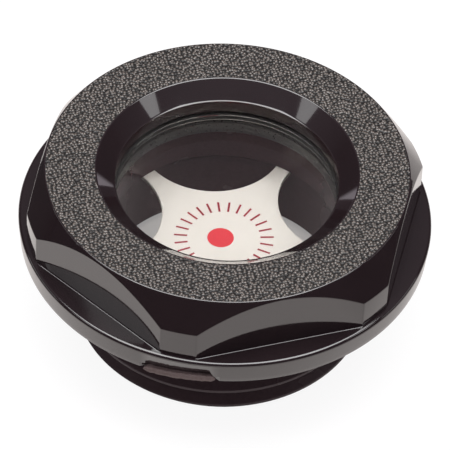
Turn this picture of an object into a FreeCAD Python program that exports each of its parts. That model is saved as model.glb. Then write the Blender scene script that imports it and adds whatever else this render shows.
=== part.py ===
import FreeCAD, Part

import os

import Sketcher

# Oil level sight glass with a pipe thread, in millimetres.
# The frame's origin is the middle of the thread's open end, and +Z runs up
# through the window. The part stands on the thread's end, as it is pictured.

SIZES = [
    # The hexagon head and its flange
    ("flange_diameter", 46.5),
    ("flange_thickness", 2.85),
    ("flange_draft", 0.25),
    ("flange_edge_bevel", 0.3),
    ("head_height", 6.95),
    ("hexagon_across_flats", 41.0),
    ("corner_setback", 0.65),
    ("ring_margin", 0.15),
    ("corner_chamfer_height", 3.35),
    # The sighting funnel in the head, and the lip that the window bears on
    ("ring_edge_bevel", 0.25),
    ("funnel_depth", 1.85),
    ("funnel_width", 2.15),
    ("lip_land", 1.4),
    ("lip_width", 0.6),
    # The threaded spigot
    ("spigot_length", 11.8),
    ("thread_diameter", 33.249),
    ("thread_pitch", 2.309),
    ("thread_start", 2.07),
    ("thread_end_chamfer", 0.55),
    ("relief_width", 2.4),
    ("relief_depth", 0.2),
    # The bore, from the open end up to the window
    ("spigot_wall", 1.55),
    ("end_bore_chamfer", 1.1),
    ("screen_groove_depth", 0.2),
    ("screen_ledge_width", 0.7),
    ("chamber_height", 4.45),
    # The window and its seal
    ("window_thickness", 3.0),
    ("window_clearance", 0.1),
    ("window_edge_chamfer", 0.2),
    ("seal_groove_width", 1.5),
    ("seal_groove_depth", 0.65),
    ("seal_side_gap", 0.1),
    # The ring that holds the window
    ("retainer_height", 1.7),
    ("retainer_snap", 0.3),
    ("retainer_overlap", 0.6),
    ("retainer_clearance", 0.05),
    ("retainer_chamfer", 0.3),
    # The contrast screen
    ("screen_thickness", 0.5),
    ("screen_clearance", 0.05),
    ("screen_arms", 5),
    ("screen_arm_angle", 78.2),
    ("screen_arm_waist", 1.76),
    ("cutout_setback", 2.12),
    # The packing ring under the flange
    ("packing_width", 3.3),
    ("packing_thickness", 2.0),
    ("packing_clearance", 0.1),
    # The mark that the moulding gate left on the flange's rim
    ("gate_angle", -119.3),
    ("gate_width_angle", 20.2),
    ("gate_height", 0.75),
    ("gate_depth", 0.5),
]

# A pipe thread has flanks at 27.5 degrees from the square. Its depth, its
# flat root and how far its cutter stands out are shares of its pitch.
FLANK_ANGLE = 27.5
THREAD_DEPTH_SHARE = 0.640327
THREAD_ROOT_SHARE = 1 / 6
CUTTER_REACH_SHARE = 0.1
THREAD_DEPTH = f"(sizes.thread_pitch * {THREAD_DEPTH_SHARE})"
GROOVE_ROOT = f"(sizes.thread_pitch * {THREAD_ROOT_SHARE})"
CUTTER_REACH = f"(sizes.thread_pitch * {CUTTER_REACH_SHARE})"

# The head has a spanner flat on each of these sides
HEAD_SIDES = 6

# Two edges nearer than this are the same edge
SAME_PLACE = 0.0001

# Radii outside: the flange, the head on it and the thread under it
FLANGE_RADIUS = "(sizes.flange_diameter / 2)"
CORNER_RADIUS = f"({FLANGE_RADIUS} - sizes.corner_setback)"
RING_RADIUS = "(sizes.hexagon_across_flats / 2 - sizes.ring_margin)"
THREAD_RADIUS = "(sizes.thread_diameter / 2)"
ROOT_RADIUS = f"({THREAD_RADIUS} - {THREAD_DEPTH})"
RELIEF_RADIUS = f"({ROOT_RADIUS} - sizes.relief_depth)"
PACKING_BORE_RADIUS = f"({THREAD_RADIUS} + sizes.packing_clearance)"
PACKING_RADIUS = f"({PACKING_BORE_RADIUS} + sizes.packing_width)"

# Radii inside: the thread's root leaves the bore its wall, and every step of
# the bore and each piece in it is set out from there
END_BORE_RADIUS = f"({ROOT_RADIUS} - sizes.spigot_wall)"
SCREEN_GROOVE_RADIUS = f"({END_BORE_RADIUS} + sizes.screen_groove_depth)"
SCREEN_RADIUS = f"({SCREEN_GROOVE_RADIUS} - sizes.screen_clearance)"
BORE_RADIUS = f"({SCREEN_GROOVE_RADIUS} - sizes.screen_ledge_width)"
SNAP_RADIUS = f"({BORE_RADIUS} + sizes.retainer_snap)"
RETAINER_RADIUS = f"({SNAP_RADIUS} - sizes.retainer_clearance)"
RETAINER_BORE_RADIUS = f"({BORE_RADIUS} - sizes.retainer_overlap)"
WINDOW_RADIUS = f"({BORE_RADIUS} - sizes.window_clearance)"
SEAL_FLOOR_RADIUS = f"({WINDOW_RADIUS} - sizes.seal_groove_depth)"
SIGHT_RADIUS = f"({BORE_RADIUS} - sizes.lip_width)"
RING_INNER_RADIUS = f"({SIGHT_RADIUS} + sizes.funnel_width)"

# The round cut-outs between the screen's arms: where their centres lie, and
# the radius that leaves each arm its waist
CUTOUT_CIRCLE_RADIUS = f"({SCREEN_RADIUS} + sizes.cutout_setback)"
HALF_ARM_PITCH = "(180 deg / sizes.screen_arms)"
CUTOUT_RADIUS = f"({CUTOUT_CIRCLE_RADIUS} * sin({HALF_ARM_PITCH}) - sizes.screen_arm_waist / 2)"

# Heights above the thread's open end
SEAT = "sizes.spigot_length"
FLANGE_TOP = f"({SEAT} + sizes.flange_thickness)"
TOP = f"({FLANGE_TOP} + sizes.head_height)"
CHAMFER_FOOT = f"({TOP} - sizes.corner_chamfer_height)"
FUNNEL_FOOT = f"({TOP} - sizes.funnel_depth)"
LIP_FOOT = f"({FUNNEL_FOOT} - sizes.lip_land)"
WINDOW_FOOT = f"({LIP_FOOT} - sizes.window_thickness)"
RETAINER_FOOT = f"({WINDOW_FOOT} - sizes.retainer_height)"
SCREEN_LEDGE = f"({RETAINER_FOOT} - sizes.chamber_height)"
SCREEN_FOOT = f"({SCREEN_LEDGE} - sizes.screen_thickness)"
SCREEN_GROOVE_FOOT = f"({SCREEN_FOOT} - sizes.screen_clearance)"
RELIEF_FOOT = f"({SEAT} - sizes.relief_width)"
PACKING_FOOT = f"({SEAT} - sizes.packing_thickness)"


def make_sheet(doc):
    sheet = doc.addObject("Spreadsheet::Sheet", "sizes")
    for row, (name, value) in enumerate(SIZES, start=1):
        sheet.set(f"A{row}", name)
        sheet.set(f"B{row}", str(value))
        sheet.setAlias(f"B{row}", name)
    doc.recompute()


def new_body(doc, name, height="0"):
    """A named piece, lifted to its own height in the assembly."""
    body = doc.addObject("PartDesign::Body", name)
    body.Label = name
    body.Placement = FreeCAD.Placement()
    if height != "0":
        body.setExpression("Placement.Base.z", height)
    return body


def new_sketch(body, name, role):
    plane = [item for item in body.Origin.OriginFeatures if item.Role == role][0]
    sketch = body.newObject("Sketcher::SketchObject", name)
    sketch.AttachmentSupport = (plane, "")
    sketch.MapMode = "FlatFace"
    return sketch


def tie(sketch, shape, point, across, up):
    """Ties a point of a sketch to its distances from the sketch's two axes."""
    for kind, axis, size in (("DistanceX", -2, across), ("DistanceY", -1, up)):
        if size == "0":
            on_axis = Sketcher.Constraint("PointOnObject", shape, point, axis)
            sketch.addConstraint(on_axis)
        else:
            start = float(sketch.evalExpression(size))
            rule = Sketcher.Constraint(kind, -1, 1, shape, point, start)
            index = sketch.addConstraint(rule)
            sketch.setExpression(f"Constraints[{index}]", size)


def add_outline(sketch, corners):
    """A closed outline of straight lines, each corner tied to the sizes."""
    places = []
    for across, up in corners:
        x = float(sketch.evalExpression(across))
        y = float(sketch.evalExpression(up))
        places.append(FreeCAD.Vector(x, y, 0))
    count = len(corners)
    first = sketch.GeometryCount
    for i in range(count):
        sketch.addGeometry(Part.LineSegment(places[i], places[(i + 1) % count]))
    for i in range(count):
        line = first + i
        following = first + (i + 1) % count
        sketch.addConstraint(Sketcher.Constraint("Coincident", line, 2, following, 1))
    for i, (across, up) in enumerate(corners):
        tie(sketch, first + i, 1, across, up)


def add_circle(sketch, radius, across="0", up="0"):
    x = float(sketch.evalExpression(across))
    y = float(sketch.evalExpression(up))
    start = float(sketch.evalExpression(radius))
    centre = FreeCAD.Vector(x, y, 0)
    circle = sketch.addGeometry(Part.Circle(centre, FreeCAD.Vector(0, 0, 1), start))
    index = sketch.addConstraint(Sketcher.Constraint("Radius", circle, start))
    sketch.setExpression(f"Constraints[{index}]", radius)
    tie(sketch, circle, 3, across, up)


def revolve(body, name, corners):
    """A turned form: an outline in the XZ plane, spun about Z."""
    sketch = new_sketch(body, name + "_outline", "XZ_Plane")
    add_outline(sketch, corners)
    turned = body.newObject("PartDesign::Revolution", name)
    turned.Profile = sketch
    turned.ReferenceAxis = (sketch, ["V_Axis"])
    turned.Angle = 360
    return turned


def bevel_rim(doc, body, name, base, size, radius, height):
    """Takes the sharpness off the round edge at a radius and height."""
    doc.recompute()
    rim_radius = float(base.evalExpression(radius))
    rim_height = float(base.evalExpression(height))
    found = []
    for number, edge in enumerate(base.Shape.Edges, start=1):
        curve = edge.Curve
        if not isinstance(curve, Part.Circle):
            continue
        same_radius = abs(curve.Radius - rim_radius) < SAME_PLACE
        same_height = abs(curve.Center.z - rim_height) < SAME_PLACE
        if same_radius and same_height:
            found.append(f"Edge{number}")
    bevel = body.newObject("PartDesign::Chamfer", name)
    bevel.Base = (base, found)
    bevel.setExpression("Size", size)
    return bevel


def make_housing(doc):
    """The black moulded body: hexagon head, funnel, flange, threaded spigot."""
    body = new_body(doc, "body")
    blank = revolve(body, "blank", [
        # Up the outside of the spigot and the flange
        (f"({THREAD_RADIUS} - sizes.thread_end_chamfer)", "0"),
        (THREAD_RADIUS, "sizes.thread_end_chamfer"),
        (THREAD_RADIUS, RELIEF_FOOT),
        (RELIEF_RADIUS, f"({RELIEF_FOOT} + {THREAD_DEPTH} / 2)"),
        (RELIEF_RADIUS, SEAT),
        (f"({FLANGE_RADIUS} - sizes.flange_draft)", SEAT),
        (FLANGE_RADIUS, FLANGE_TOP),
        # Up the head's corners and over its grained top ring
        (CORNER_RADIUS, FLANGE_TOP),
        (CORNER_RADIUS, CHAMFER_FOOT),
        (RING_RADIUS, TOP),
        (RING_INNER_RADIUS, TOP),
        # Down the funnel, its lip and the stepped bore
        (SIGHT_RADIUS, FUNNEL_FOOT),
        (SIGHT_RADIUS, LIP_FOOT),
        (BORE_RADIUS, LIP_FOOT),
        (BORE_RADIUS, WINDOW_FOOT),
        (SNAP_RADIUS, WINDOW_FOOT),
        (SNAP_RADIUS, RETAINER_FOOT),
        (BORE_RADIUS, RETAINER_FOOT),
        (BORE_RADIUS, SCREEN_LEDGE),
        (SCREEN_GROOVE_RADIUS, SCREEN_LEDGE),
        (SCREEN_GROOVE_RADIUS, SCREEN_GROOVE_FOOT),
        (END_BORE_RADIUS, SCREEN_GROOVE_FOOT),
        (END_BORE_RADIUS, "sizes.end_bore_chamfer"),
        (f"({END_BORE_RADIUS} + sizes.end_bore_chamfer)", "0"),
    ])
    rim = bevel_rim(doc, body, "flange_edge", blank, "sizes.flange_edge_bevel",
                    FLANGE_RADIUS, FLANGE_TOP)
    bevel_rim(doc, body, "ring_edge", rim, "sizes.ring_edge_bevel",
              RING_INNER_RADIUS, TOP)
    cut_flats(body)
    cut_gate_mark(body)
    cut_thread(body)
    return body


def cut_flats(body):
    """Cuts the six spanner flats off the round head, down to the flange."""
    sketch = new_sketch(body, "hexagon", "XY_Plane")
    sketch.setExpression("AttachmentOffset.Base.z", TOP)
    add_circle(sketch, "sizes.hexagon_across_flats")
    side_angle = 360 / HEAD_SIDES
    corner_radius = f"(sizes.hexagon_across_flats / 2 / cos({side_angle / 2} deg))"
    corners = []
    for side in range(HEAD_SIDES):
        angle = side * side_angle
        across = f"({corner_radius} * cos({angle} deg))"
        up = f"({corner_radius} * sin({angle} deg))"
        on_the_x_axis = angle % 180 == 0
        corners.append((across, "0" if on_the_x_axis else up))
    add_outline(sketch, corners)
    flats = body.newObject("PartDesign::Pocket", "flats")
    flats.Profile = sketch
    flats.Type = "Length"
    flats.setExpression("Length", "sizes.head_height")


def cut_gate_mark(body):
    """The shallow nick in the rim where the moulding gate was broken off."""
    sketch = new_sketch(body, "gate_outline", "XZ_Plane")
    sketch.AttachmentOffset = FreeCAD.Placement(
        FreeCAD.Vector(0, 0, 0), FreeCAD.Rotation(FreeCAD.Vector(0, 1, 0), 1)
    )
    sketch.setExpression("AttachmentOffset.Rotation.Angle", "sizes.gate_angle")
    inner = f"({FLANGE_RADIUS} - sizes.flange_draft - sizes.gate_depth)"
    outer = f"({FLANGE_RADIUS} + sizes.gate_depth)"
    add_outline(sketch, [
        (inner, f"({SEAT} - sizes.gate_height)"),
        (outer, f"({SEAT} - sizes.gate_height)"),
        (outer, f"({SEAT} + sizes.gate_height)"),
        (inner, f"({SEAT} + sizes.gate_height)"),
    ])
    nick = body.newObject("PartDesign::Groove", "gate_mark")
    nick.Profile = sketch
    nick.ReferenceAxis = (sketch, ["V_Axis"])
    nick.Midplane = True
    nick.setExpression("Angle", "sizes.gate_width_angle")


def cut_thread(body):
    """Cuts the right-hand thread's groove up the spigot, into the relief."""
    sketch = new_sketch(body, "thread_outline", "XZ_Plane")
    start = "(0 - sizes.thread_start)"
    slope = f"tan({FLANK_ANGLE} deg)"
    half_root = f"({GROOVE_ROOT} / 2)"
    reach = f"({THREAD_DEPTH} + {CUTTER_REACH})"
    half_mouth = f"({half_root} + {reach} * {slope})"
    outer = f"({THREAD_RADIUS} + {CUTTER_REACH})"
    add_outline(sketch, [
        (ROOT_RADIUS, f"({start} - {half_root})"),
        (outer, f"({start} - {half_mouth})"),
        (outer, f"({start} + {half_mouth})"),
        (ROOT_RADIUS, f"({start} + {half_root})"),
    ])
    thread = body.newObject("PartDesign::SubtractiveHelix", "thread")
    thread.Profile = sketch
    thread.ReferenceAxis = (sketch, ["V_Axis"])
    thread.Mode = "pitch-height-angle"
    thread.Angle = 0
    thread.setExpression("Pitch", "sizes.thread_pitch")
    climb = f"({SEAT} + sizes.thread_start - {half_mouth} - {CUTTER_REACH})"
    thread.setExpression("Height", climb)


def make_window(doc):
    """The clear window, a plug with a groove round its edge for the seal."""
    body = new_body(doc, "window", WINDOW_FOOT)
    edge = "sizes.window_edge_chamfer"
    height = "sizes.window_thickness"
    groove_foot = f"(({height} - sizes.seal_groove_width) / 2)"
    groove_top = f"(({height} + sizes.seal_groove_width) / 2)"
    revolve(body, "plug", [
        ("0", "0"),
        (WINDOW_RADIUS, "0"),
        (WINDOW_RADIUS, groove_foot),
        (SEAL_FLOOR_RADIUS, groove_foot),
        (SEAL_FLOOR_RADIUS, groove_top),
        (WINDOW_RADIUS, groove_top),
        (WINDOW_RADIUS, f"({height} - {edge})"),
        (f"({WINDOW_RADIUS} - {edge})", height),
        ("0", height),
    ])
    return body


def make_window_seal(doc):
    """The square rubber ring in the window's groove, pressed out to the bore."""
    groove_foot = f"(sizes.window_thickness - sizes.seal_groove_width) / 2"
    body = new_body(doc, "window_seal", f"{WINDOW_FOOT} + {groove_foot} + sizes.seal_side_gap")
    height = "(sizes.seal_groove_width - 2 * sizes.seal_side_gap)"
    revolve(body, "seal", [
        (SEAL_FLOOR_RADIUS, "0"),
        (BORE_RADIUS, "0"),
        (BORE_RADIUS, height),
        (SEAL_FLOOR_RADIUS, height),
    ])
    return body


def make_retaining_ring(doc):
    """The ring that snaps into the bore under the window and holds it up."""
    body = new_body(doc, "retaining_ring", RETAINER_FOOT)
    height = "sizes.retainer_height"
    chamfer = "sizes.retainer_chamfer"
    revolve(body, "ring", [
        (RETAINER_BORE_RADIUS, "0"),
        (RETAINER_RADIUS, "0"),
        (RETAINER_RADIUS, f"({height} - {chamfer})"),
        (f"({RETAINER_RADIUS} - {chamfer})", height),
        (f"({RETAINER_BORE_RADIUS} + {chamfer})", height),
        (RETAINER_BORE_RADIUS, f"({height} - {chamfer})"),
    ])
    return body


def make_contrast_screen(doc):
    """The white sheet-metal star that the oil level is read against."""
    body = new_body(doc, "contrast_screen", SCREEN_FOOT)
    body.Placement = FreeCAD.Placement(
        FreeCAD.Vector(0, 0, 0), FreeCAD.Rotation(FreeCAD.Vector(0, 0, 1), 1)
    )
    body.setExpression("Placement.Rotation.Angle", "sizes.screen_arm_angle")
    disc_sketch = new_sketch(body, "disc_outline", "XY_Plane")
    add_circle(disc_sketch, SCREEN_RADIUS)
    disc = body.newObject("PartDesign::Pad", "disc")
    disc.Profile = disc_sketch
    disc.setExpression("Length", "sizes.screen_thickness")
    cut_sketch = new_sketch(body, "cutout_outline", "XY_Plane")
    add_circle(cut_sketch, CUTOUT_RADIUS, CUTOUT_CIRCLE_RADIUS)
    cut = body.newObject("PartDesign::Pocket", "cutout")
    cut.Profile = cut_sketch
    cut.Reversed = True
    cut.Type = "ThroughAll"
    pattern = body.newObject("PartDesign::PolarPattern", "cutouts")
    pattern.Originals = [cut]
    pattern.Axis = (disc_sketch, ["N_Axis"])
    pattern.Angle = 360
    pattern.setExpression("Occurrences", "sizes.screen_arms")
    body.Tip = pattern
    return body


def make_packing_ring(doc):
    """The flat rubber ring that seals the flange against the tank wall."""
    body = new_body(doc, "packing_ring", PACKING_FOOT)
    sketch = new_sketch(body, "packing_outline", "XY_Plane")
    add_circle(sketch, PACKING_RADIUS)
    add_circle(sketch, PACKING_BORE_RADIUS)
    ring = body.newObject("PartDesign::Pad", "packing")
    ring.Profile = sketch
    ring.setExpression("Length", "sizes.packing_thickness")
    return body


def check(doc, pieces):
    """Stops the build if any object failed or any piece isn't a whole solid."""
    for item in doc.Objects:
        failed = [word for word in item.State if word in ("Invalid", "Error")]
        if failed:
            raise RuntimeError(f"{item.Name} did not build: {item.State}")
    for piece in pieces:
        shape = piece.Shape
        if shape.isNull() or not shape.isValid() or len(shape.Solids) != 1:
            raise RuntimeError(f"{piece.Label} is not one valid solid")
        if shape.Volume <= 0:
            raise RuntimeError(f"{piece.Label} has no volume")


def main():
    os.makedirs("parts", exist_ok=True)
    doc = FreeCAD.newDocument("oil_level_sight_glass")
    make_sheet(doc)
    pieces = [
        make_housing(doc),
        make_window(doc),
        make_window_seal(doc),
        make_retaining_ring(doc),
        make_contrast_screen(doc),
        make_packing_ring(doc),
    ]
    doc.recompute()
    check(doc, pieces)
    for piece in pieces:
        piece.Shape.exportStep(f"parts/{piece.Label}.step")
        print(f"{piece.Label}: {piece.Shape.Volume:.1f} mm3")


main()
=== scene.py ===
import math

import bmesh
import bpy
from mathutils import Matrix, Vector, noise


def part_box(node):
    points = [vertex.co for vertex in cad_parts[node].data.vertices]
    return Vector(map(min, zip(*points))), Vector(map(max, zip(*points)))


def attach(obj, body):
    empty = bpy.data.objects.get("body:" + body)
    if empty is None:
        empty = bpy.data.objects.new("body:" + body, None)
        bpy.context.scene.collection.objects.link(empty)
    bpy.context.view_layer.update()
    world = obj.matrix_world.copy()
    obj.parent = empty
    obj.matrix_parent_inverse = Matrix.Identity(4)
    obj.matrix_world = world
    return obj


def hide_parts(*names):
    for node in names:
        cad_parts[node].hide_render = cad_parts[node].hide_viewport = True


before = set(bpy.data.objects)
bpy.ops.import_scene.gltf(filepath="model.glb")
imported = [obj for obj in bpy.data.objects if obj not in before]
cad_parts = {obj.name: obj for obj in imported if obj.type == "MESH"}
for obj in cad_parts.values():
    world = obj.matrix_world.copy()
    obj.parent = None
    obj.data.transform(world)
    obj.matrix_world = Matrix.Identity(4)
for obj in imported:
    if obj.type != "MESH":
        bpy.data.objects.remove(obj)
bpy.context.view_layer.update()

# Oil level sight glass: a black moulded hexagon head and threaded spigot, a
# clear window held up by a snap-in ring, and a white star under the window.
# Meshes are drawn in millimetres and brought to metres when they are finished.
MM = 0.001

# Heights above the thread's open end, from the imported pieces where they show
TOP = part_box("body")[1].z / MM
WINDOW_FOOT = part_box("window")[0].z / MM
WINDOW_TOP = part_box("window")[1].z / MM
SEAL_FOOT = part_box("window_seal")[0].z / MM
SEAL_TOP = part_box("window_seal")[1].z / MM
SNAP_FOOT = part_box("retaining_ring")[0].z / MM
SCREEN_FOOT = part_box("contrast_screen")[0].z / MM
SCREEN_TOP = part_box("contrast_screen")[1].z / MM
PACKING_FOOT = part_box("packing_ring")[0].z / MM
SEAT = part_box("packing_ring")[1].z / MM

FLANGE_THICKNESS = 2.85
CORNER_CHAMFER_HEIGHT = 3.35
FUNNEL_DEPTH = 1.85
FLANGE_TOP = SEAT + FLANGE_THICKNESS
CHAMFER_FOOT = TOP - CORNER_CHAMFER_HEIGHT
FUNNEL_FOOT = TOP - FUNNEL_DEPTH

# Air between pieces that touch, and the play of those that are pushed in
SLACK = 0.01
PLAY = 0.05

# Radii outside: the flange, the head on it, and the pipe thread and packing under it
FLANGE_RADIUS = 23.25
FLANGE_DRAFT = 0.25
CORNER_SETBACK = 0.65
FLAT_DISTANCE = 20.5
RING_MARGIN = 0.15
THREAD_RADIUS = 16.6245
THREAD_DEPTH = 1.4785
RELIEF_DEPTH = 0.2
FLANGE_FOOT_RADIUS = FLANGE_RADIUS - FLANGE_DRAFT
CORNER_RADIUS = FLANGE_RADIUS - CORNER_SETBACK
RING_RADIUS = FLAT_DISTANCE - RING_MARGIN
THREAD_ROOT = THREAD_RADIUS - THREAD_DEPTH
RELIEF_RADIUS = THREAD_ROOT - RELIEF_DEPTH
PACKING_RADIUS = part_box("packing_ring")[1].x / MM

# Radii inside: the thread's root leaves the spigot its wall, and every step of the bore
# is set out from there. The sight hole over the window opens into the funnel.
SPIGOT_WALL = 1.55
SCREEN_GROOVE_DEPTH = 0.2
SCREEN_LEDGE_WIDTH = 0.7
SNAP_DEPTH = 0.3
SIGHT_RADIUS = 12.5
FUNNEL_WIDTH = 2.15
END_BORE_RADIUS = THREAD_ROOT - SPIGOT_WALL
SCREEN_GROOVE_RADIUS = END_BORE_RADIUS + SCREEN_GROOVE_DEPTH
SCREEN_RADIUS = SCREEN_GROOVE_RADIUS - PLAY
BORE_RADIUS = SCREEN_GROOVE_RADIUS - SCREEN_LEDGE_WIDTH
SNAP_RADIUS = BORE_RADIUS + SNAP_DEPTH
FUNNEL_RADIUS = SIGHT_RADIUS + FUNNEL_WIDTH

# Lengths that count as none, for cuts, for welding and for what is level
TINY = 1e-5
WELD = 1e-4
LEVEL = 1e-3

ROUND_STEPS = 4
EDGE_STEPS = 3
COLUMNS = 240
SHARP_ANGLE = math.radians(32)

# The photograph's side, and the turn that brings X to its right
CAMERA_AZIMUTH = -109
PHOTO_TURN = math.radians(CAMERA_AZIMUTH + 90)


def on_circle(radius, angle):
    return Vector((radius * math.cos(angle), radius * math.sin(angle), 0))


def new_outline(bm, corners, closed=False):
    """A line through (radius, height, rounding) corners in the XZ plane."""
    verts = [bm.verts.new((radius, 0, height)) for radius, height, _ in corners]
    ends = verts[1:] + verts[:1] if closed else verts[1:]
    for a, b in zip(verts, ends):
        bm.edges.new((a, b))
    turns = []
    for vert, (_, _, rounding) in zip(verts, corners):
        if rounding:
            one, two = [edge.other_vert(vert).co - vert.co for edge in vert.link_edges]
            turns.append((vert, rounding / math.tan(one.angle(two) / 2)))
    for vert, reach in turns:
        bmesh.ops.bevel(
            bm, geom=[vert], offset=reach, offset_type="OFFSET", segments=ROUND_STEPS,
            profile=0.5, affect="VERTICES", material=-1,
        )


def spin_round(bm):
    """Turns all the lines of bm once round Z."""
    bmesh.ops.spin(
        bm, geom=bm.verts[:] + bm.edges[:], cent=(0, 0, 0), axis=(0, 0, 1),
        angle=math.tau, steps=COLUMNS, use_merge=True,
    )
    bmesh.ops.remove_doubles(bm, verts=bm.verts, dist=TINY)


def lift_faces(bm, faces, rise, **options):
    """Extrudes faces straight up."""
    lifted = bmesh.ops.extrude_face_region(bm, geom=faces, **options)["geom"]
    verts = [item for item in lifted if isinstance(item, bmesh.types.BMVert)]
    bmesh.ops.translate(bm, vec=(0, 0, rise), verts=verts)


def open_edges(bm):
    return [edge for edge in bm.edges if edge.is_boundary]


def finish_piece(bm, name, materials, slot, *nodes):
    """Brings a mesh to metres, shades it and seats it on the frame."""
    bmesh.ops.scale(bm, vec=(MM, MM, MM), verts=bm.verts)
    bmesh.ops.recalc_face_normals(bm, faces=bm.faces)
    mesh = bpy.data.meshes.new(name)
    bm.to_mesh(mesh)
    bm.free()
    for material in materials:
        mesh.materials.append(material)
    mesh.shade_smooth()
    mesh.set_sharp_from_angle(angle=SHARP_ANGLE)
    piece = bpy.data.objects.new(name, mesh)
    bpy.context.scene.collection.objects.link(piece)
    # Lets wide faces keep their own direction, so that only the roundings bend
    even = piece.modifiers.new("even_shading", "WEIGHTED_NORMAL")
    even.keep_sharp = True
    even.weight = 100
    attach(piece, "root")
    if nodes:
        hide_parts(*nodes)
    return piece


# Materials


def new_material(name):
    material = bpy.data.materials.new(name)
    material.use_nodes = True
    nodes = material.node_tree.nodes
    shader = nodes["Principled BSDF"]
    return material, nodes, material.node_tree.links, shader


CLOUD_SCALE = 160.0


def speckle_group():
    """Fine moulding marks: a height and a cloudy value, from Object coordinates."""
    group = bpy.data.node_groups.new("moulding_marks", "ShaderNodeTree")
    face = group.interface
    face.new_socket("Grain Size", in_out="INPUT", socket_type="NodeSocketFloat")
    face.new_socket("Height", in_out="OUTPUT", socket_type="NodeSocketFloat")
    face.new_socket("Cloud", in_out="OUTPUT", socket_type="NodeSocketFloat")
    nodes, links = group.nodes, group.links
    enter = nodes.new("NodeGroupInput")
    leave = nodes.new("NodeGroupOutput")
    place = nodes.new("ShaderNodeTexCoord")
    size = nodes.new("ShaderNodeMath")
    size.operation = "DIVIDE"
    size.inputs[0].default_value = 1.0
    links.new(enter.outputs["Grain Size"], size.inputs[1])
    fine = nodes.new("ShaderNodeTexNoise")
    fine.inputs["Detail"].default_value = 2.0
    links.new(place.outputs["Object"], fine.inputs["Vector"])
    links.new(size.outputs[0], fine.inputs["Scale"])
    cloud = nodes.new("ShaderNodeTexNoise")
    cloud.inputs["Scale"].default_value = CLOUD_SCALE
    cloud.inputs["Detail"].default_value = 3.0
    links.new(place.outputs["Object"], cloud.inputs["Vector"])
    links.new(fine.outputs["Fac"], leave.inputs["Height"])
    links.new(cloud.outputs["Fac"], leave.inputs["Cloud"])
    return group


MARKS = speckle_group()


def add_marks(nodes, grain_size):
    """Moulding marks of a size in metres."""
    marks = nodes.new("ShaderNodeGroup")
    marks.node_tree = MARKS
    marks.inputs["Grain Size"].default_value = grain_size
    return marks


def spread(nodes, links, source, low, high, start=0.3, end=0.7):
    """Maps a value, as a rule a noise, to a range."""
    ramp = nodes.new("ShaderNodeMapRange")
    ramp.inputs["From Min"].default_value = start
    ramp.inputs["From Max"].default_value = end
    ramp.inputs["To Min"].default_value = low
    ramp.inputs["To Max"].default_value = high
    links.new(source, ramp.inputs["Value"])
    return ramp.outputs["Result"]


def blend(nodes, links, share, one, two):
    """Mixes two colours by a share."""
    mix = nodes.new("ShaderNodeMix")
    mix.data_type = "RGBA"
    links.new(share, mix.inputs["Factor"])
    mix.inputs["A"].default_value = (*one, 1)
    mix.inputs["B"].default_value = (*two, 1)
    return mix.outputs["Result"]


def combine(nodes, links, operation, one, two):
    """Works out one value from two."""
    node = nodes.new("ShaderNodeMath")
    node.operation = operation
    links.new(one, node.inputs[0])
    links.new(two, node.inputs[1])
    return node.outputs[0]


def add_bump(nodes, links, height, distance):
    """A relief, as deep as a distance in metres."""
    bump = nodes.new("ShaderNodeBump")
    bump.inputs["Strength"].default_value = 1.0
    bump.inputs["Distance"].default_value = distance
    links.new(height, bump.inputs["Height"])
    return bump.outputs["Normal"]


def make_polished_nylon():
    """Black polyamide from a polished mould: the head and the flange."""
    material, nodes, links, shader = new_material("polished_nylon")
    marks = add_marks(nodes, 0.00025)
    dark, light = (0.0125, 0.008, 0.0092), (0.0195, 0.0125, 0.0142)
    links.new(blend(nodes, links, marks.outputs["Cloud"], dark, light), shader.inputs["Base Color"])
    links.new(spread(nodes, links, marks.outputs["Cloud"], 0.05, 0.1), shader.inputs["Roughness"])
    links.new(add_bump(nodes, links, marks.outputs["Height"], 0.0000006), shader.inputs["Normal"])
    shader.inputs["IOR"].default_value = 1.55
    shader.inputs["Coat Weight"].default_value = 1.0
    shader.inputs["Coat IOR"].default_value = 1.58
    shader.inputs["Coat Roughness"].default_value = 0.03
    return material


PEBBLE_SCALE = 2800.0
# Heights of the grain where its pits and its tops begin
PIT_LEVEL = -0.47
TOP_LEVEL = -0.04


def make_grained_nylon():
    """The same polyamide where the mould is eroded to a fine pebble grain, with painted light on the
    grain's tops and painted shade in its pits.
    """
    material, nodes, links, shader = new_material("grained_nylon_with_painted_light")
    place = nodes.new("ShaderNodeTexCoord")
    marks = add_marks(nodes, 0.0002)
    pebbles = nodes.new("ShaderNodeTexVoronoi")
    pebbles.feature = "SMOOTH_F1"
    pebbles.inputs["Scale"].default_value = PEBBLE_SCALE
    pebbles.inputs["Smoothness"].default_value = 0.15
    pebbles.inputs["Randomness"].default_value = 0.75
    links.new(place.outputs["Object"], pebbles.inputs["Vector"])
    rough = spread(nodes, links, marks.outputs["Height"], 0, 0.14)
    height = combine(nodes, links, "SUBTRACT", rough, pebbles.outputs["Distance"])
    # Painted light and shade: the pits between the pebbles are coloured near black, and their tops far
    # lighter than the polished black, as light falls on them
    top = spread(nodes, links, height, 0, 1, PIT_LEVEL, TOP_LEVEL)
    dark, light = (0.005, 0.0038, 0.0032), (0.155, 0.128, 0.104)
    links.new(blend(nodes, links, top, dark, light), shader.inputs["Base Color"])
    links.new(spread(nodes, links, top, 0.5, 0.24, 0, 1), shader.inputs["Roughness"])
    relief = add_bump(nodes, links, height, 0.0002)
    links.new(relief, shader.inputs["Normal"])
    links.new(relief, shader.inputs["Coat Normal"])
    links.new(top, shader.inputs["Coat Weight"])
    shader.inputs["IOR"].default_value = 1.65
    shader.inputs["Coat IOR"].default_value = 1.6
    shader.inputs["Coat Roughness"].default_value = 0.1
    return material


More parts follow.
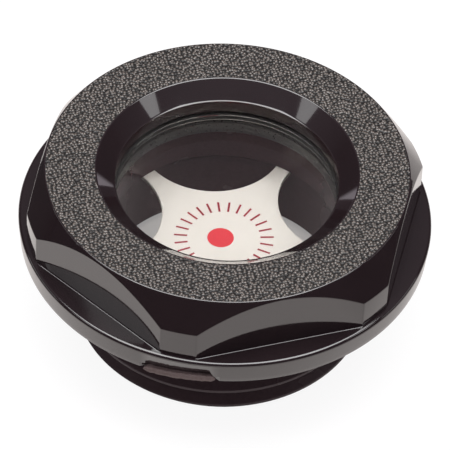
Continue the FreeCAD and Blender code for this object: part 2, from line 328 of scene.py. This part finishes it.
def make_bore_nylon(name, dark, light, sheen):
    """The same polyamide inside and on the thread, from plainer parts of the mould, in lit copies whose
    base colours, lighter than the head's black, are painted light.
    """
    material, nodes, links, shader = new_material(name)
    marks = add_marks(nodes, 0.0004)
    links.new(blend(nodes, links, marks.outputs["Height"], dark, light), shader.inputs["Base Color"])
    links.new(spread(nodes, links, marks.outputs["Cloud"], 0.16, 0.3), shader.inputs["Roughness"])
    links.new(add_bump(nodes, links, marks.outputs["Height"], 0.000004), shader.inputs["Normal"])
    shader.inputs["Specular IOR Level"].default_value = sheen
    return material


def make_window_plastic():
    """Clear polyamide, polished. Lamps shine through it on to the star."""
    material, nodes, links, shader = new_material("clear_window")
    shader.inputs["Base Color"].default_value = (0.97, 0.962, 0.955, 1)
    shader.inputs["Roughness"].default_value = 0.0
    shader.inputs["IOR"].default_value = 1.53
    shader.inputs["Transmission Weight"].default_value = 1.0
    path = nodes.new("ShaderNodeLightPath")
    clear = nodes.new("ShaderNodeBsdfTransparent")
    clear.inputs["Color"].default_value = (0.86, 0.85, 0.845, 1)
    mix = nodes.new("ShaderNodeMixShader")
    links.new(path.outputs["Is Shadow Ray"], mix.inputs["Fac"])
    links.new(shader.outputs["BSDF"], mix.inputs[1])
    links.new(clear.outputs["BSDF"], mix.inputs[2])
    links.new(mix.outputs["Shader"], nodes["Material Output"].inputs["Surface"])
    return material


def make_lacquer():
    """Warm white lacquer on the star."""
    material, nodes, links, shader = new_material("white_lacquer")
    marks = add_marks(nodes, 0.0003)
    dark, light = (0.715, 0.69, 0.635), (0.775, 0.75, 0.7)
    links.new(blend(nodes, links, marks.outputs["Cloud"], dark, light), shader.inputs["Base Color"])
    links.new(spread(nodes, links, marks.outputs["Height"], 0.32, 0.42), shader.inputs["Roughness"])
    links.new(add_bump(nodes, links, marks.outputs["Height"], 0.000004), shader.inputs["Normal"])
    return material


def make_ink(name, dark, light):
    """Red printing ink, a little uneven."""
    material, nodes, links, shader = new_material(name)
    marks = add_marks(nodes, 0.0002)
    links.new(blend(nodes, links, marks.outputs["Height"], dark, light), shader.inputs["Base Color"])
    links.new(spread(nodes, links, marks.outputs["Cloud"], 0.35, 0.5), shader.inputs["Roughness"])
    return material


def make_dull_black(name, dark, light, rough, grain, relief):
    """Rubber, unpolished plastic and torn plastic."""
    material, nodes, links, shader = new_material(name)
    marks = add_marks(nodes, grain)
    links.new(blend(nodes, links, marks.outputs["Cloud"], dark, light), shader.inputs["Base Color"])
    links.new(spread(nodes, links, marks.outputs["Height"], *rough), shader.inputs["Roughness"])
    links.new(add_bump(nodes, links, marks.outputs["Height"], relief), shader.inputs["Normal"])
    return material


POLISHED = make_polished_nylon()
GRAINED = make_grained_nylon()
# Painted light: these copies of the polyamide are coloured lighter than the head's black, most in the
# bore and on the thread and the flange's underside, least on the sight wall over the window
BORE = make_bore_nylon("bore_nylon_painted_light", (0.034, 0.016, 0.019), (0.062, 0.031, 0.036), 0.25)
THREADED = make_bore_nylon("thread_nylon_painted_light", (0.042, 0.028, 0.031), (0.06, 0.041, 0.045), 0.5)
SIGHT = make_bore_nylon("sight_wall_nylon_painted_light", (0.016, 0.008, 0.009), (0.028, 0.015, 0.016), 0.28)
CLEAR = make_window_plastic()
LACQUER = make_lacquer()
DOT_INK = make_ink("red_dot_ink", (0.62, 0.03, 0.045), (0.74, 0.05, 0.065))
TICK_INK = make_ink("red_tick_ink", (0.28, 0.012, 0.026), (0.36, 0.024, 0.04))
RUBBER = make_dull_black(
    "nitrile_rubber", (0.012, 0.011, 0.011), (0.02, 0.019, 0.019),
    rough=(0.55, 0.75), grain=0.0003, relief=0.000012,
)
SATIN = make_dull_black(
    "satin_nylon", (0.016, 0.014, 0.014), (0.026, 0.023, 0.022),
    rough=(0.25, 0.4), grain=0.0003, relief=0.000003,
)
TORN = make_dull_black(
    "torn_gate", (0.055, 0.036, 0.036), (0.2, 0.148, 0.142),
    rough=(0.45, 0.7), grain=0.0002, relief=0.00004,
)


# The black body


HEAD_SIDES = 6
FOOT_ROUNDING = 0.13
# Shares of the rounding's height at which the corners get loops for it
FOOT_LOOPS = (1, 0.45, 0.12)


def flat_reach(height):
    """How far out a flat stands at a height: a small fillet runs along its foot."""
    rise = min(max(height - FLANGE_TOP, 0), FOOT_ROUNDING) / FOOT_ROUNDING
    return FLAT_DISTANCE + FOOT_ROUNDING * (1 - math.sqrt(1 - (1 - rise) ** 2))


def cut_flats(bm):
    """Cuts six spanner flats into the round head."""
    for side in range(HEAD_SIDES):
        out = on_circle(1, math.tau * (side + 0.5) / HEAD_SIDES)
        wall = [
            face for face in bm.faces
            if all(v.co.z > FLANGE_TOP - LEVEL and v.co.xy.length > RING_RADIUS for v in face.verts)
            and any(v.co.z > FLANGE_TOP + LEVEL for v in face.verts)
        ]
        geom = wall + list({e for f in wall for e in f.edges}) + list({v for f in wall for v in f.verts})
        bmesh.ops.bisect_plane(bm, geom=geom, dist=TINY, plane_co=out * FLAT_DISTANCE, plane_no=out)
        for vert in bm.verts:
            inside = FLANGE_TOP - LEVEL < vert.co.z and vert.co.xy.length < CORNER_RADIUS + LEVEL
            reach = flat_reach(vert.co.z)
            if inside and vert.co.dot(out) > reach:
                vert.co.xy *= reach / vert.co.dot(out)
        flat = [
            face for face in bm.faces
            if all(abs(v.co.dot(out) - FLAT_DISTANCE) < WELD for v in face.verts)
        ]
        bmesh.ops.dissolve_faces(bm, faces=flat)


EDGE_ROUNDING = 0.1
ROUNDED_ANGLE = math.radians(18)


def round_head(bm):
    """Rounds the edges between the flats and the chamfered corners."""
    sharp = [
        edge for edge in bm.edges
        if len(edge.link_faces) == 2 and edge.calc_face_angle() > ROUNDED_ANGLE
        and all(v.co.z > FLANGE_TOP + LEVEL for v in edge.verts)
        and all(v.co.xy.length > RING_RADIUS + EDGE_ROUNDING for v in edge.verts)
        and any(v.co.z > FLANGE_TOP + FOOT_ROUNDING + LEVEL for v in edge.verts)
    ]
    bmesh.ops.bevel(
        bm, geom=sharp, offset=EDGE_ROUNDING, offset_type="OFFSET", segments=EDGE_STEPS,
        profile=0.5, affect="EDGES", material=-1, loop_slide=True, clamp_overlap=False,
    )


GATE_ANGLES = [math.radians(angle) for angle in (-129.4, -109.2)]
GATE_TOP = SEAT + 0.75
GATE_DEPTH = 0.5
# The nick's top leans down to the left, and a narrow band under it turns inwards
GATE_LEAN = 0.42
GATE_LEAN_FOOT = SEAT + 0.5
GATE_BAND = 0.04
# The rim's lean puts both ends of the band a little out from the rim's foot
BAND_TOP_OUT = 0.066
BAND_FOOT_OUT = 0.063
GATE_REACH = CORNER_RADIUS - 0.2


def press_gate_mark(bm):
    """Sets the nick in the rim's lower edge back, where the gate was broken off."""
    first, last = GATE_ANGLES
    for vert in bm.verts:
        angle = math.atan2(vert.co.y, vert.co.x)
        radius = vert.co.xy.length
        if first < angle < last and radius > GATE_REACH and vert.co.z < GATE_TOP + LEVEL:
            if vert.co.z > GATE_LEAN_FOOT:
                vert.co.z -= GATE_LEAN * (last - angle) / (last - first)
            if vert.co.z < GATE_TOP - GATE_BAND / 2:
                vert.co.xy *= (radius - GATE_DEPTH) / radius


THREAD_PITCH = 2.309
THREAD_START = 2.07
THREAD_TURNS = 6
THREAD_STEPS = 120
THREAD_ROUNDING = 0.12
FLANK_ANGLE = math.radians(27.5)
FLANK_WIDTH = THREAD_DEPTH * math.tan(FLANK_ANGLE)
CREST_HALF = THREAD_PITCH / 12
CREST_START = -THREAD_START - THREAD_PITCH / 2
END_BEVEL = 0.55
RELIEF_LENGTH = 2.4
THREAD_TOP = SEAT - RELIEF_LENGTH
RELIEF_FOOT = THREAD_TOP + THREAD_DEPTH / 2


def add_thread(bm):
    """The helical thread, cut level at both ends and chamfered."""
    thread = bmesh.new()
    new_outline(thread, [
        (THREAD_RADIUS, CREST_START, 0),
        (THREAD_RADIUS, CREST_START + CREST_HALF, THREAD_ROUNDING),
        (THREAD_ROOT, CREST_START + CREST_HALF + FLANK_WIDTH, THREAD_ROUNDING),
        (THREAD_ROOT, CREST_START + THREAD_PITCH - CREST_HALF - FLANK_WIDTH, THREAD_ROUNDING),
        (THREAD_RADIUS, CREST_START + THREAD_PITCH - CREST_HALF, THREAD_ROUNDING),
        (THREAD_RADIUS, CREST_START + THREAD_PITCH, 0),
    ])
    bmesh.ops.spin(
        thread, geom=thread.verts[:] + thread.edges[:], cent=(0, 0, 0), axis=(0, 0, 1),
        angle=math.tau * THREAD_TURNS, dvec=(0, 0, THREAD_PITCH / THREAD_STEPS),
        steps=THREAD_STEPS * THREAD_TURNS,
    )
    bmesh.ops.remove_doubles(thread, verts=thread.verts, dist=WELD)
    levels = ((0.0, -1, True), (END_BEVEL, 1, False), (THREAD_TOP, 1, False), (RELIEF_FOOT, 1, True))
    for height, way, clear in levels:
        bmesh.ops.bisect_plane(
            thread, geom=thread.verts[:] + thread.edges[:] + thread.faces[:], dist=TINY,
            plane_co=(0, 0, height), plane_no=(0, 0, way), clear_outer=clear,
        )
    for vert in thread.verts:
        radius, height = vert.co.xy.length, vert.co.z
        limit = THREAD_RADIUS
        if height < END_BEVEL:
            limit = THREAD_RADIUS - END_BEVEL + height
        if height > THREAD_TOP:
            share = (height - THREAD_TOP) / (RELIEF_FOOT - THREAD_TOP)
            limit = THREAD_RADIUS + share * (RELIEF_RADIUS - THREAD_RADIUS)
        vert.co.xy *= min(radius, limit) / radius
    sheet = bpy.data.meshes.new("thread_sheet")
    thread.to_mesh(sheet)
    thread.free()
    bm.from_mesh(sheet)
    bpy.data.meshes.remove(sheet)


BODY_MATERIALS = [POLISHED, GRAINED, BORE, SIGHT, THREADED]
GRAINED_FACE, BORE_FACE, SIGHT_FACE, THREAD_FACE = range(1, len(BODY_MATERIALS))
# A narrow ledge runs round the funnel's foot and catches a line of light
LEDGE_FOOT = FUNNEL_FOOT + 0.18
LEDGE_TOP = FUNNEL_FOOT + 0.27
LEDGE_WIDTH = 0.22
# How far the bore's faces reach, and where those of the thread and the underside lie
INSIDE_REACH = THREAD_ROOT - 0.4
INSIDE_TOP = LEDGE_FOOT + 0.02
THREAD_REACH = THREAD_ROOT - 0.3
UNDERSIDE_REACH = FLANGE_FOOT_RADIUS - 1


def paint_body(bm):
    """Gives each face of the body its material. The rest stays polished."""
    for face in bm.faces:
        radii = [v.co.xy.length for v in face.verts]
        heights = [v.co.z for v in face.verts]
        if min(heights) > TOP - LEVEL:
            face.material_index = GRAINED_FACE
        if max(radii) < INSIDE_REACH and max(heights) < INSIDE_TOP:
            over_window = face.calc_center_median().z > WINDOW_TOP - SLACK
            face.material_index = SIGHT_FACE if over_window else BORE_FACE
        if min(radii) > THREAD_REACH and max(radii) < UNDERSIDE_REACH and max(heights) < SEAT + LEVEL:
            face.material_index = THREAD_FACE


END_CHAMFER = 1.1
# Gaps that the bridges from the thread to the two outlines close
END_STEP = 0.02
RELIEF_STEP = 0.1


def make_body():
    bm = bmesh.new()
    # The flange, from its top down to the relief over the thread
    new_outline(bm, [
        (CORNER_RADIUS, FLANGE_TOP, 0),
        (FLANGE_RADIUS, FLANGE_TOP, 0.4),
        (FLANGE_FOOT_RADIUS + BAND_TOP_OUT, GATE_TOP, 0),
        (FLANGE_FOOT_RADIUS + BAND_FOOT_OUT, GATE_TOP - GATE_BAND, 0),
        (FLANGE_FOOT_RADIUS, SEAT, 0.15),
        (RELIEF_RADIUS, SEAT, 0.1),
        (RELIEF_RADIUS, RELIEF_FOOT + RELIEF_STEP, 0),
    ])
    # The bore, from the open end up, then the funnel and the head
    new_outline(bm, [
        (END_BORE_RADIUS + END_CHAMFER - END_STEP, END_STEP, 0),
        (END_BORE_RADIUS, END_CHAMFER, 0.1),
        (END_BORE_RADIUS, SCREEN_FOOT - PLAY, 0),
        (SCREEN_GROOVE_RADIUS, SCREEN_FOOT - PLAY, 0),
        (SCREEN_GROOVE_RADIUS, SCREEN_TOP, 0),
        (BORE_RADIUS, SCREEN_TOP, 0.06),
        (BORE_RADIUS, SNAP_FOOT, 0.05),
        (SNAP_RADIUS, SNAP_FOOT, 0),
        (SNAP_RADIUS, WINDOW_FOOT, 0),
        (BORE_RADIUS, WINDOW_FOOT, 0.05),
        (BORE_RADIUS, WINDOW_TOP, 0),
        (SIGHT_RADIUS, WINDOW_TOP, 0.06),
        (SIGHT_RADIUS, LEDGE_FOOT, 0.03),
        (SIGHT_RADIUS + LEDGE_WIDTH, LEDGE_TOP, 0),
        (FUNNEL_RADIUS, TOP, 0.28),
        (RING_RADIUS, TOP, 0.2),
        (CORNER_RADIUS, CHAMFER_FOOT, 0),
        *[(CORNER_RADIUS, FLANGE_TOP + FOOT_ROUNDING * share, 0) for share in FOOT_LOOPS],
        (CORNER_RADIUS, FLANGE_TOP, 0),
    ])
    spin_round(bm)
    press_gate_mark(bm)
    cut_flats(bm)
    round_head(bm)
    add_thread(bm)
    bmesh.ops.remove_doubles(bm, verts=bm.verts, dist=WELD)
    # Loops at two heights bridge cleanly, where level ones can be joined crosswise
    relief = [edge for edge in open_edges(bm) if edge.verts[0].co.z > THREAD_TOP]
    bmesh.ops.bridge_loops(bm, edges=relief)
    bmesh.ops.bridge_loops(bm, edges=open_edges(bm))
    paint_body(bm)
    return finish_piece(bm, "moulded_body", BODY_MATERIALS, "body", "body")


make_body()


STUB_RADIUS = FLANGE_FOOT_RADIUS
STUB_DEPTH = 0.5
STUB_LOW = SEAT - 0.12
STUB_HIGH = SEAT + 0.3
STUB_RISE = 0.46
STUB_STEPS = 160
# The angle over which each end is rounded off, and the least height left there
STUB_END = 0.03
STUB_THINNEST = 0.1
# Waves of the tear as (frequency, amount), up and down and in and out
TEAR_UP = ((1.7, 0.06), (5, 0.05))
TEAR_OUT = ((3.3, 0.05), (9, 0.03))


def tear(place, waves):
    return sum(noise.noise(place * frequency) * amount for frequency, amount in waves)


def make_gate_stub():
    """The torn skin that the gate left in its nick: a slanting bar with round ends."""
    bm = bmesh.new()
    first, last = GATE_ANGLES
    new_outline(bm, [
        (STUB_RADIUS - STUB_DEPTH, STUB_LOW - STUB_RISE, 0),
        (STUB_RADIUS - 0.04, STUB_LOW - STUB_RISE, 0.12),
        (STUB_RADIUS + 0.02, STUB_LOW - 0.08, 0.1),
        (STUB_RADIUS - 0.02, STUB_LOW + 0.1, 0.1),
        (STUB_RADIUS + 0.03, STUB_LOW + STUB_RISE, 0.05),
        (STUB_RADIUS - STUB_DEPTH, STUB_LOW + STUB_RISE, 0),
    ], closed=True)
    bmesh.ops.rotate(bm, cent=(0, 0, 0), matrix=Matrix.Rotation(first, 3, "Z"), verts=bm.verts)
    bmesh.ops.spin(
        bm, geom=bm.verts[:] + bm.edges[:], cent=(0, 0, 0), axis=(0, 0, 1), angle=last - first,
        dvec=(0, 0, (STUB_HIGH - STUB_LOW) / STUB_STEPS), steps=STUB_STEPS,
    )
    bmesh.ops.remove_doubles(bm, verts=bm.verts, dist=TINY)
    for vert in bm.verts:
        angle = math.atan2(vert.co.y, vert.co.x)
        share = min(max((angle - first) / (last - first), 0), 1)
        middle = STUB_LOW + (STUB_HIGH - STUB_LOW) * share
        end = max(min(angle - first, last - angle), 0) / STUB_END
        round_off = math.sqrt(max(1 - (1 - min(end, 1)) ** 2, STUB_THINNEST ** 2))
        vert.co.z = middle + (vert.co.z - middle) * round_off + tear(vert.co, TEAR_UP)
        vert.co += on_circle(1, angle) * tear(vert.co, TEAR_OUT)
    bmesh.ops.holes_fill(bm, edges=open_edges(bm))
    return finish_piece(bm, "gate_stub", [TORN], "body")


make_gate_stub()


# The pieces in the bore and under the flange


def make_turned(name, corners, material, slot, *nodes):
    """A ring, or a plug whose outline starts and ends on the axis."""
    bm = bmesh.new()
    new_outline(bm, corners, closed=corners[0][0] > 0)
    spin_round(bm)
    return finish_piece(bm, name, [material], slot, *nodes)


WINDOW_CLEARANCE = 0.1
WINDOW_RADIUS = BORE_RADIUS - WINDOW_CLEARANCE
WINDOW_MIDDLE = (WINDOW_FOOT + WINDOW_TOP) / 2
# The groove grips the seal, which covers its floor and shows black through the window
SEAL_GROOVE_DEPTH = 0.65
SEAL_FLOOR_RADIUS = WINDOW_RADIUS - SEAL_GROOVE_DEPTH
SEAL_GROOVE = SEAL_TOP - SEAL_FOOT - 2 * SLACK

make_turned("window_plug", [
    (0, WINDOW_FOOT, 0),
    (WINDOW_RADIUS, WINDOW_FOOT, 0.06),
    (WINDOW_RADIUS, WINDOW_MIDDLE - SEAL_GROOVE / 2, 0.04),
    (SEAL_FLOOR_RADIUS, WINDOW_MIDDLE - SEAL_GROOVE / 2, 0),
    (SEAL_FLOOR_RADIUS, WINDOW_MIDDLE + SEAL_GROOVE / 2, 0),
    (WINDOW_RADIUS, WINDOW_MIDDLE + SEAL_GROOVE / 2, 0.04),
    (WINDOW_RADIUS, WINDOW_TOP - SLACK, 0.2),
    (0, WINDOW_TOP - SLACK, 0),
], CLEAR, "window", "window")

make_turned("seal_ring", [
    (SEAL_FLOOR_RADIUS - SLACK, SEAL_FOOT, 0.1),
    (BORE_RADIUS - SLACK, SEAL_FOOT, 0.3),
    (BORE_RADIUS - SLACK, SEAL_TOP, 0.3),
    (SEAL_FLOOR_RADIUS - SLACK, SEAL_TOP, 0.1),
], RUBBER, "seal", "window_seal")

RETAINER_OVERLAP = 0.6
RETAINER_BORE = BORE_RADIUS - RETAINER_OVERLAP
RETAINER_CHAMFER = 0.3

make_turned("snap_ring", [
    (RETAINER_BORE, SNAP_FOOT, 0.05),
    (SNAP_RADIUS - PLAY, SNAP_FOOT, 0.05),
    (SNAP_RADIUS - PLAY, WINDOW_FOOT - RETAINER_CHAMFER, 0.05),
    (SNAP_RADIUS - PLAY - RETAINER_CHAMFER, WINDOW_FOOT, 0.05),
    (RETAINER_BORE + RETAINER_CHAMFER, WINDOW_FOOT, 0.08),
    (RETAINER_BORE, WINDOW_FOOT - RETAINER_CHAMFER, 0.08),
], SATIN, "retaining_ring", "retaining_ring")

PACKING_CLEARANCE = 0.1

make_turned("flange_packing", [
    (PACKING_RADIUS, PACKING_FOOT, 0.1),
    (PACKING_RADIUS, SEAT - SLACK, 0.1),
    (THREAD_RADIUS + PACKING_CLEARANCE, SEAT - SLACK, 0.1),
    (THREAD_RADIUS + PACKING_CLEARANCE, PACKING_FOOT, 0.1),
], RUBBER, "seal", "packing_ring")


# The white star and its print


SCREEN_ARMS = 5
ARM_ANGLE = math.radians(78.2)
ARM_WAIST = 1.76
CUTOUT_SETBACK = 2.12
CUTOUT_STEPS = 24
TIP_STEPS = 6
RIM_ROUNDING = 0.08


def make_star():
    """A disc with five round cut-outs, blanked from sheet."""
    half = math.pi / SCREEN_ARMS
    circle = SCREEN_RADIUS + CUTOUT_SETBACK
    cutout = circle * math.sin(half) - ARM_WAIST / 2
    # Where the rim meets a cut-out, as the angle from the cut-out's middle line
    reach = math.acos((SCREEN_RADIUS**2 + circle**2 - cutout**2) / (2 * SCREEN_RADIUS * circle))
    centre = on_circle(circle, ARM_ANGLE)
    start = on_circle(SCREEN_RADIUS, ARM_ANGLE + reach)
    end = on_circle(SCREEN_RADIUS, ARM_ANGLE - reach)
    sweep = (start - centre).angle(end - centre)
    bm = bmesh.new()
    corner = bm.verts.new(start)
    bmesh.ops.spin(bm, geom=[corner], cent=centre, axis=(0, 0, 1), angle=sweep, steps=CUTOUT_STEPS)
    tip = bm.verts.new(start)
    bmesh.ops.spin(
        bm, geom=[tip], cent=(0, 0, 0), axis=(0, 0, 1), angle=2 * (half - reach), steps=TIP_STEPS,
    )
    bmesh.ops.spin(
        bm, geom=bm.verts[:] + bm.edges[:], cent=(0, 0, 0), axis=(0, 0, 1),
        angle=math.tau * (SCREEN_ARMS - 1) / SCREEN_ARMS, steps=SCREEN_ARMS - 1, use_duplicate=True,
    )
    bmesh.ops.remove_doubles(bm, verts=bm.verts, dist=WELD)
    face = bmesh.ops.contextual_create(bm, geom=bm.edges[:])["faces"]
    bmesh.ops.translate(bm, vec=(0, 0, SCREEN_FOOT), verts=bm.verts)
    lift_faces(bm, face, SCREEN_TOP - SCREEN_FOOT)
    rims = [edge for edge in bm.edges if abs(edge.verts[0].co.z - edge.verts[1].co.z) < WELD]
    bmesh.ops.bevel(
        bm, geom=rims, offset=RIM_ROUNDING, offset_type="OFFSET", segments=EDGE_STEPS,
        profile=0.5, affect="EDGES", material=-1,
    )
    return finish_piece(bm, "contrast_star", [LACQUER], "contrast_screen", "contrast_screen")


INK = 0.012
DOT_RADIUS = 1.5
DOT_SHIFT = -0.37
DOT_STEPS = 64
TICKS = 27
TICK_INNER = 4.14
TICK_LENGTH = 1.5
TICK_WIDTH = 0.24


def make_print():
    """The red dot and the ring of even ticks, as thin layers of ink."""
    bm = bmesh.new()
    circle = bmesh.ops.create_circle(bm, cap_ends=True, segments=DOT_STEPS, radius=DOT_RADIUS)
    bmesh.ops.translate(bm, vec=on_circle(DOT_SHIFT, PHOTO_TURN), verts=circle["verts"])
    for tick in range(TICKS):
        # A square of side 1, to scale to a tick's length and width
        grid = bmesh.ops.create_grid(bm, x_segments=1, y_segments=1, size=0.5)
        bmesh.ops.scale(bm, vec=(TICK_LENGTH, TICK_WIDTH, 1), verts=grid["verts"])
        bmesh.ops.translate(bm, vec=(TICK_INNER + TICK_LENGTH / 2, 0, 0), verts=grid["verts"])
        turn = Matrix.Rotation(math.tau * tick / TICKS, 3, "Z")
        bmesh.ops.rotate(bm, cent=(0, 0, 0), matrix=turn, verts=grid["verts"])
        # The ticks take the second ink
        for face in grid["verts"][0].link_faces:
            face.material_index = 1
    bmesh.ops.translate(bm, vec=(0, 0, SCREEN_TOP), verts=bm.verts)
    lift_faces(bm, bm.faces[:], INK, use_keep_orig=True)
    return finish_piece(bm, "dial_print", [DOT_INK, TICK_INK], "contrast_screen")


make_star()
make_print()


# Stage, lights and camera, all in metres


FLOOR_REACH = 4.0
# Where mirrors see the paper end, to the photograph's left and right
PAPER_LEFT = -0.052
PAPER_RIGHT = 0.068
PAPER_EDGE = 0.008
# Painted shade: mirrors see the paper darken a little towards the right
PAPER_DUSK = 0.55
DUSK_START = 0.024
DUSK_END = 0.04
# Colours and glow of the paper in mirrors, of the rest in mirrors, and as the camera sees it
PAPER_MIRRORED = (0.38, 0.352, 0.328)
BEYOND_MIRRORED = (0.02, 0.02, 0.02)
PAPER_SEEN = (0.13, 0.13, 0.13)
GLOW_MIRRORED = 0.3
GLOW_SEEN = 0.9


def make_floor():
    """A white paper under the part: white to the camera, with an end to what mirrors see of it."""
    bm = bmesh.new()
    bmesh.ops.create_grid(bm, x_segments=1, y_segments=1, size=FLOOR_REACH)
    mesh = bpy.data.meshes.new("floor")
    bm.to_mesh(mesh)
    bm.free()
    material, nodes, links, shader = new_material("white_floor")
    place = nodes.new("ShaderNodeTexCoord")
    turned = nodes.new("ShaderNodeMapping")
    turned.vector_type = "POINT"
    turned.inputs["Rotation"].default_value = (0, 0, -PHOTO_TURN)
    links.new(place.outputs["Object"], turned.inputs["Vector"])
    split = nodes.new("ShaderNodeSeparateXYZ")
    links.new(turned.outputs["Vector"], split.inputs["Vector"])
    across = split.outputs["X"]
    left = spread(nodes, links, across, 0, 1, PAPER_LEFT - PAPER_EDGE, PAPER_LEFT)
    right = spread(nodes, links, across, 1, 0, PAPER_RIGHT, PAPER_RIGHT + PAPER_EDGE)
    # Painted shade on the paper towards the right, seen only in mirrors
    dusk = spread(nodes, links, across, 1, PAPER_DUSK, DUSK_START, DUSK_END)
    paper = combine(nodes, links, "MULTIPLY", left, right)
    dim = combine(nodes, links, "MULTIPLY", paper, dusk)
    camera = nodes.new("ShaderNodeLightPath").outputs["Is Camera Ray"]
    white = combine(nodes, links, "MAXIMUM", camera, dim)
    shade = blend(nodes, links, camera, PAPER_MIRRORED, PAPER_SEEN)
    tint = nodes.new("ShaderNodeMix")
    tint.data_type = "RGBA"
    tint.inputs["A"].default_value = (*BEYOND_MIRRORED, 1)
    links.new(shade, tint.inputs["B"])
    links.new(white, tint.inputs["Factor"])
    links.new(tint.outputs["Result"], shader.inputs["Base Color"])
    shader.inputs["Roughness"].default_value = 0.9
    shader.inputs["Specular IOR Level"].default_value = 0.0
    glow = spread(nodes, links, camera, GLOW_MIRRORED, GLOW_SEEN, 0, 1)
    shader.inputs["Emission Color"].default_value = (1, 1, 1, 1)
    links.new(combine(nodes, links, "MULTIPLY", glow, white), shader.inputs["Emission Strength"])
    mesh.materials.append(material)
    floor = bpy.data.objects.new("floor", mesh)
    bpy.context.scene.collection.objects.link(floor)


# What mirrors see of the room: a strip by the horizon and a paler ceiling, as strengths
STRIP = 0.7
ROOM_LOW = 0.02
ROOM_HIGH = 0.17
# Heights of a direction, and how squarely it faces the back, where each of them begins and ends
STRIP_TOP = [math.sin(math.radians(angle)) for angle in (4, 6)]
STRIP_SIDE = (0.6, 0.7)
ROOM_RISE = [math.sin(math.radians(angle)) for angle in (25, 55)]
DULL_FILL = 0.5
ROOM_TINT = (1, 0.9, 0.98)


def make_world():
    """White for the camera; in mirrors a dark room, paler overhead, with a low white strip behind."""
    world = bpy.data.worlds.new("studio")
    bpy.context.scene.world = world
    world.use_nodes = True
    nodes, links = world.node_tree.nodes, world.node_tree.links
    back = nodes["Background"]
    path = nodes.new("ShaderNodeLightPath")
    place = nodes.new("ShaderNodeTexCoord")
    split = nodes.new("ShaderNodeSeparateXYZ")
    links.new(place.outputs["Generated"], split.inputs["Vector"])
    behind = nodes.new("ShaderNodeVectorMath")
    behind.operation = "DOT_PRODUCT"
    behind.inputs[1].default_value = (-math.sin(PHOTO_TURN), math.cos(PHOTO_TURN), 0)
    links.new(place.outputs["Generated"], behind.inputs[0])
    low = spread(nodes, links, split.outputs["Z"], STRIP, 0, *STRIP_TOP)
    facing = spread(nodes, links, behind.outputs["Value"], 0, 1, *STRIP_SIDE)
    high = spread(nodes, links, split.outputs["Z"], ROOM_LOW, ROOM_HIGH, *ROOM_RISE)
    strip = combine(nodes, links, "MULTIPLY", low, facing)
    room = combine(nodes, links, "MAXIMUM", strip, high)
    fill = nodes.new("ShaderNodeMix")
    fill.inputs["A"].default_value = DULL_FILL
    links.new(path.outputs["Is Glossy Ray"], fill.inputs["Factor"])
    links.new(room, fill.inputs["B"])
    seen = nodes.new("ShaderNodeMix")
    seen.inputs["B"].default_value = 1.0
    links.new(path.outputs["Is Camera Ray"], seen.inputs["Factor"])
    links.new(fill.outputs["Result"], seen.inputs["A"])
    links.new(seen.outputs["Result"], back.inputs["Strength"])
    back.inputs["Color"].default_value = (*ROOM_TINT, 1)


def aim(item, azimuth, elevation, distance, target):
    """Places an item on a sphere round a target, facing it."""
    a, e = math.radians(azimuth), math.radians(elevation)
    back = Vector((math.cos(a) * math.cos(e), math.sin(a) * math.cos(e), math.sin(e)))
    item.rotation_mode = "QUATERNION"
    item.location = Vector(target) + back * distance
    item.rotation_quaternion = (-back).to_track_quat("-Z", "Y")
    return item


LIGHT_DISTANCE = 0.6
LIGHT_TARGET = (0, 0, 0.015)


def add_softbox(name, azimuth, elevation, width, height, radiance):
    """A soft lamp that is equally bright whatever its size."""
    light = bpy.data.lights.new(name, "AREA")
    light.shape = "RECTANGLE"
    light.size = width
    light.size_y = height
    light.energy = radiance * math.pi * width * height
    item = bpy.data.objects.new(name, light)
    bpy.context.scene.collection.objects.link(item)
    return aim(item, azimuth, elevation, LIGHT_DISTANCE, LIGHT_TARGET)


CAMERA_ELEVATION = 45.64
CAMERA_DISTANCE = 0.4784
CAMERA_ROLL = 3.18
# The point that the camera looks at: its height, and how far right of the axis it lies
LOOK_HEIGHT = 0.01268
LOOK_SHIFT = 0.00005
# The lens and the sensor as cameras give them, in millimetres
LENS = 339.9
SENSOR = 36


def add_camera():
    data = bpy.data.cameras.new("photo_view")
    data.lens = LENS
    data.sensor_width = SENSOR
    item = bpy.data.objects.new("photo_view", data)
    bpy.context.scene.collection.objects.link(item)
    bpy.context.scene.camera = item
    target = on_circle(LOOK_SHIFT, PHOTO_TURN) + Vector((0, 0, LOOK_HEIGHT))
    aim(item, CAMERA_AZIMUTH, CAMERA_ELEVATION, CAMERA_DISTANCE, target)
    roll = Matrix.Rotation(math.radians(CAMERA_ROLL), 4, "Z").to_quaternion()
    item.rotation_quaternion = item.rotation_quaternion @ roll
    data.clip_start = 0.01
    data.clip_end = 20


make_floor()
make_world()
# The softboxes make the two bright patches in the funnel, and the cards its lower glints
add_softbox("softbox_right", -28, 40, width=0.105, height=0.15, radiance=1.6)
add_softbox("softbox_left", 177, 42, width=0.14, height=0.15, radiance=1.5)
add_softbox("card_right", -11, 17, width=0.27, height=0.1, radiance=1.2)
add_softbox("card_left", 153, 17, width=0.27, height=0.1, radiance=1.2)
add_softbox("ceiling", CAMERA_AZIMUTH, 89.9, width=0.76, height=0.43, radiance=4.6)
add_camera()
bpy.context.scene.view_settings.view_transform = "Standard"
